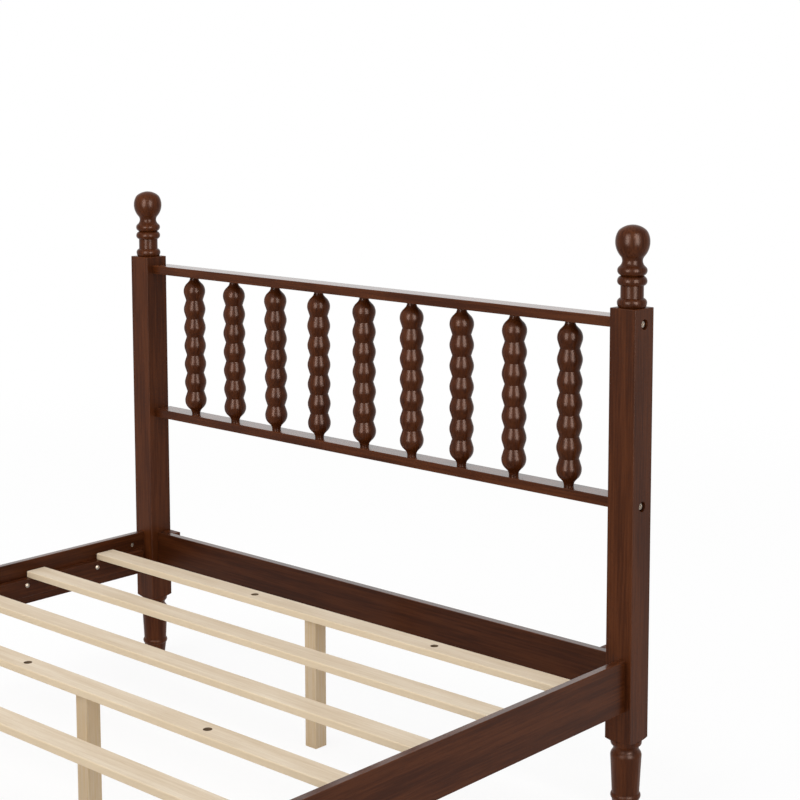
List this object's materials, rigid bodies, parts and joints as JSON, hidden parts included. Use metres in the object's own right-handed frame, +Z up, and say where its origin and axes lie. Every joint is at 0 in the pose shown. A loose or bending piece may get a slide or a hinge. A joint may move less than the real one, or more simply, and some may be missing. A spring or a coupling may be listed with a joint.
{
  "type": "platform bed",
  "caption": "Dark-stained wooden platform bed with a beaded spindle headboard, turned legs, ball finials, side rails and pale slats that carry a mattress.",
  "frame": {"origin": "middle of the floor under the bed, at the height of the feet", "axes": "+X across the bed, +Y from the foot to the headboard, +Z up"},
  "size_m": [1.4704, 2.0044, 1.1422],
  "materials": {
    "walnut_stain": "satin lacquer over dark stain",
    "slat_pine": "planed, unfinished",
    "dowel_beech": "plain",
    "zinc_steel": "zinc plated"
  },
  "bodies": {
    "root": {"cleat_screws": "zinc_steel", "corner_block_screws": "zinc_steel", "finial_studs": "zinc_steel", "foot_corner_block_left": "walnut_stain", "foot_corner_block_right": "walnut_stain", "foot_finial_left": "walnut_stain", "foot_finial_right": "walnut_stain", "foot_panel": "walnut_stain", "foot_post_left": "walnut_stain", "foot_post_right": "walnut_stain", "head_corner_block_left": "walnut_stain", "head_corner_block_right": "walnut_stain", "head_finial_left": "walnut_stain", "head_finial_right": "walnut_stain", "head_lower_rail": "walnut_stain", "head_panel": "walnut_stain", "head_post_left": "walnut_stain", "head_post_right": "walnut_stain", "head_rail_bolts": "zinc_steel", "head_rail_dowels": "dowel_beech", "head_rail_inserts": "zinc_steel", "head_spindle_1": "walnut_stain", "head_spindle_2": "walnut_stain", "head_spindle_3": "walnut_stain", "head_spindle_4": "walnut_stain", "head_spindle_5": "walnut_stain", "head_spindle_6": "walnut_stain", "head_spindle_7": "walnut_stain", "head_spindle_8": "walnut_stain", "head_spindle_9": "walnut_stain", "head_top_rail": "walnut_stain", "side_rail_barrel_nuts": "zinc_steel", "side_rail_bolts": "zinc_steel", "side_rail_dowels": "dowel_beech", "side_rail_left": "walnut_stain", "side_rail_right": "walnut_stain", "slat_1": "slat_pine", "slat_2": "slat_pine", "slat_3": "slat_pine", "slat_4": "slat_pine", "slat_5": "slat_pine", "slat_6": "slat_pine", "slat_7": "slat_pine", "slat_8": "slat_pine", "slat_9": "slat_pine", "slat_cleat_left": "walnut_stain", "slat_cleat_right": "walnut_stain", "slat_pins": "dowel_beech", "support_leg_1": "slat_pine", "support_leg_2": "slat_pine", "support_leg_3": "slat_pine", "support_leg_4": "slat_pine", "support_leg_studs": "zinc_steel"}
  },
  "joints": []
}
